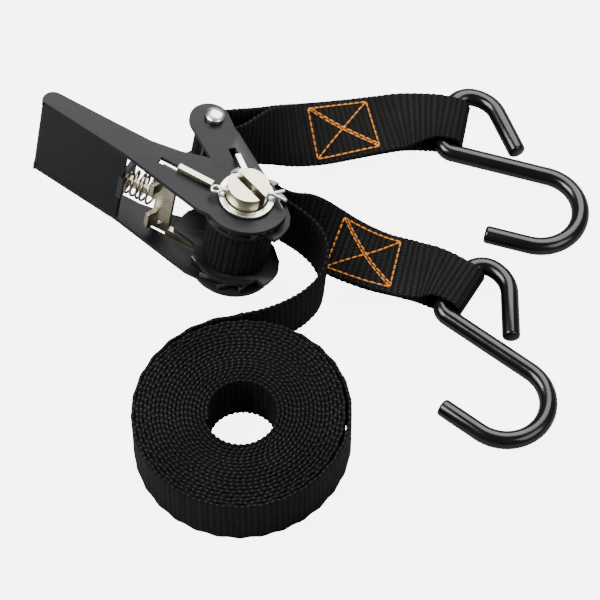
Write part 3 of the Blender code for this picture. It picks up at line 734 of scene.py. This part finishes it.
def build_tail_and_coil():
    """The long strap's free length: on edge from the spool, then wound in the flat coil."""
    stations = [(*from_hub(10.1, 11.4), 90, RATCHET_WIDTH, 0.0),
                (-5.4, 19.0, 27.0, 90, WEB_WIDTH, 0.0),
                (1.6, 14.6, 25.0, 90, WEB_WIDTH, 0.0),
                (7.1, 8.2, 24.4, 90, WEB_WIDTH, 0.0),
                (9.6, 1.0, 21.0, 90, WEB_WIDTH, 0.0),
                (7.8, -5.8, 17.0, 90, WEB_WIDTH, 0.0),
                (2.0, -11.6, 14.2, 90, WEB_WIDTH, 0.0),
                (-5.5, -15.8, 12.7, 90, WEB_WIDTH, 0.0),
                (-14.0, -19.2, 12.5, 90, COIL_WIDTH, 0.0),
                (-22.0, -21.2, 12.5, 90, COIL_WIDTH, 0.0)]
    frames = on_table(guide(stations))
    start_height = frames[0][0].z
    rows = []
    for centre, _, across, width, _ in frames:
        upright = (start_height - centre.z) / (start_height - WEB_WIDTH / 2)
        across = across.lerp(Vector((0.0, 0.0, 1.0)), min(1.0, upright)).normalized()
        rows.append((centre, across * width))
    piece, length = band("strap_tail_and_coil", rows + coil_rows(), "frame")
    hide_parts("strap_tail", "strap_coil")


def build_roll():
    """The turns on the spool, and the ply that passes through the spool's slot."""
    width = TILT @ Vector((0.0, 0.0, ROLL_WIDTH))
    rows = []
    for i in range(-8, 9):
        x, y = polar(i * 0.95, SPOOL_SLOT_ANGLE)
        rows.append((ratchet_point(x, y), width))
    count = round(ROLL_TURNS * ROLL_STEPS)
    for i in range(4, count):
        share = i / count
        radius = ROLL_START + (ROLL_END - ROLL_START) * share
        x, y = polar(radius, SPOOL_SLOT_ANGLE + 360 * ROLL_TURNS * share)
        rows.append((ratchet_point(x, y), width))
    piece, length = band("strap_roll_turns", rows, "spool")
    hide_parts("strap_roll")


# ---------------------------------------------------------------- studio

def studio():
    """A white table, a long lens and soft light from above, from the left and from behind.

    The table glows where the camera sees it directly and nowhere else, so that it is white
    and yet lights nothing from below.
    """
    target = Vector((LAYOUT.x, LAYOUT.y, 0.0)) * MM
    elevation = math.radians(CAMERA_ELEVATION)
    lens = bpy.data.cameras.new("Camera")
    lens.lens = CAMERA_LENS
    lens.sensor_width = 36.0
    camera = bpy.data.objects.new("Camera", lens)
    reach = CAMERA_DISTANCE * MM
    camera.location = target + Vector((0.0, -math.cos(elevation), math.sin(elevation))) * reach
    camera.rotation_euler = (math.pi / 2 - elevation, 0.0, 0.0)
    bpy.context.scene.collection.objects.link(camera)
    bpy.context.scene.camera = camera
    for name, place, size, watts in LIGHTS:
        light = bpy.data.lights.new(name, "AREA")
        light.energy = watts
        light.size = size
        lamp = bpy.data.objects.new(name, light)
        lamp.location = place
        lamp.rotation_euler = (-Vector(place)).to_track_quat("-Z", "Y").to_euler()
        bpy.context.scene.collection.objects.link(lamp)
    world = bpy.data.worlds.new("World")
    world.use_nodes = True
    sky = world.node_tree.nodes["Background"]
    sky.inputs["Color"].default_value = (1.0, 1.0, 1.0, 1.0)
    sky.inputs["Strength"].default_value = SKY_STRENGTH
    bpy.context.scene.world = world
    mesh = bpy.data.meshes.new("Table")
    work = bmesh.new()
    bmesh.ops.create_grid(work, size=TABLE_SIZE)
    work.to_mesh(mesh)
    work.free()
    g = Graph("table")
    g.set(g.shader, Base_Color=g.ramp(g.noise(40.0), [(0.0, 0.28), (1.0, 0.31)]), Roughness=0.8)
    seen = g.add("LightPath").outputs["Is Camera Ray"]
    g.set(g.shader, Emission_Color=(1.0, 1.0, 1.0, 1.0),
          Emission_Strength=g.maths("MULTIPLY", seen, TABLE_GLOW))
    mesh.materials.append(g.material)
    table = bpy.data.objects.new("Table", mesh)
    bpy.context.scene.collection.objects.link(table)


# ---------------------------------------------------------------- assembly

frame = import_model()
studio()
materials = {
    "black_paint": black_paint(),
    "hook_coating": hook_coating(),
    "webbing": webbing(),
    "stitching": stitching(),
    "zinc": plated("zinc", (0.80, 0.80, 0.78), (0.52, 0.52, 0.51), 0.26),
    "yellow_zinc": plated("yellow_zinc", (0.70, 0.65, 0.46), (0.40, 0.37, 0.29), 0.33),
    "spring_steel": plated("spring_steel", (0.40, 0.33, 0.25), (0.20, 0.16, 0.12), 0.30),
    # The wheels' zinc painted dark as painted shade, for the shadow between the plates where the
    # wheels sit.
    "wheel_zinc_painted_shade": plated("wheel_zinc_painted_shade", (0.16, 0.16, 0.155), (0.07, 0.07, 0.07), 0.38),
}
build_tail_and_coil()
build_short_strap()
build_long_strap()
build_roll()
build_hook("short_strap_hook", SHORT_HOOK, "short_hook")
build_hook("long_strap_hook", LONG_HOOK, "long_hook")
for node, width, slot_name in (("frame", 0.5, "black_paint"), ("handle", 0.5, "black_paint"),
                               ("anchor_bolt", 0.25, "zinc"), ("anchor_nut", 0.3, "zinc"),
                               ("anchor_sleeve", 0.2, "zinc"),
                               ("drive_pawl", 0.7, "yellow_zinc"),
                               ("lock_pawl", 0.35, "zinc"),
                               ("spool_half_a", 0.4, "yellow_zinc"),
                               ("spool_half_b", 0.4, "yellow_zinc"),
                               ("washer_upper", 0.3, "zinc"), ("washer_lower", 0.3, "zinc")):
    refine(node, width, slot_name)
for word in ("upper", "lower"):
    # The wheels take the darkened zinc: painted shade between the plates.
    refine("ratchet_wheel_" + word, 0.3, "zinc", "wheel_zinc_painted_shade")
build_spring("drive_spring", DRIVE_ANGLE, DRIVE_OFFSET, DRIVE_SPRING, "handle")
build_spring("lock_spring", LOCK_ANGLE, LOCK_OFFSET, LOCK_SPRING, "frame")
build_pawl_details()
build_cotter_pins()
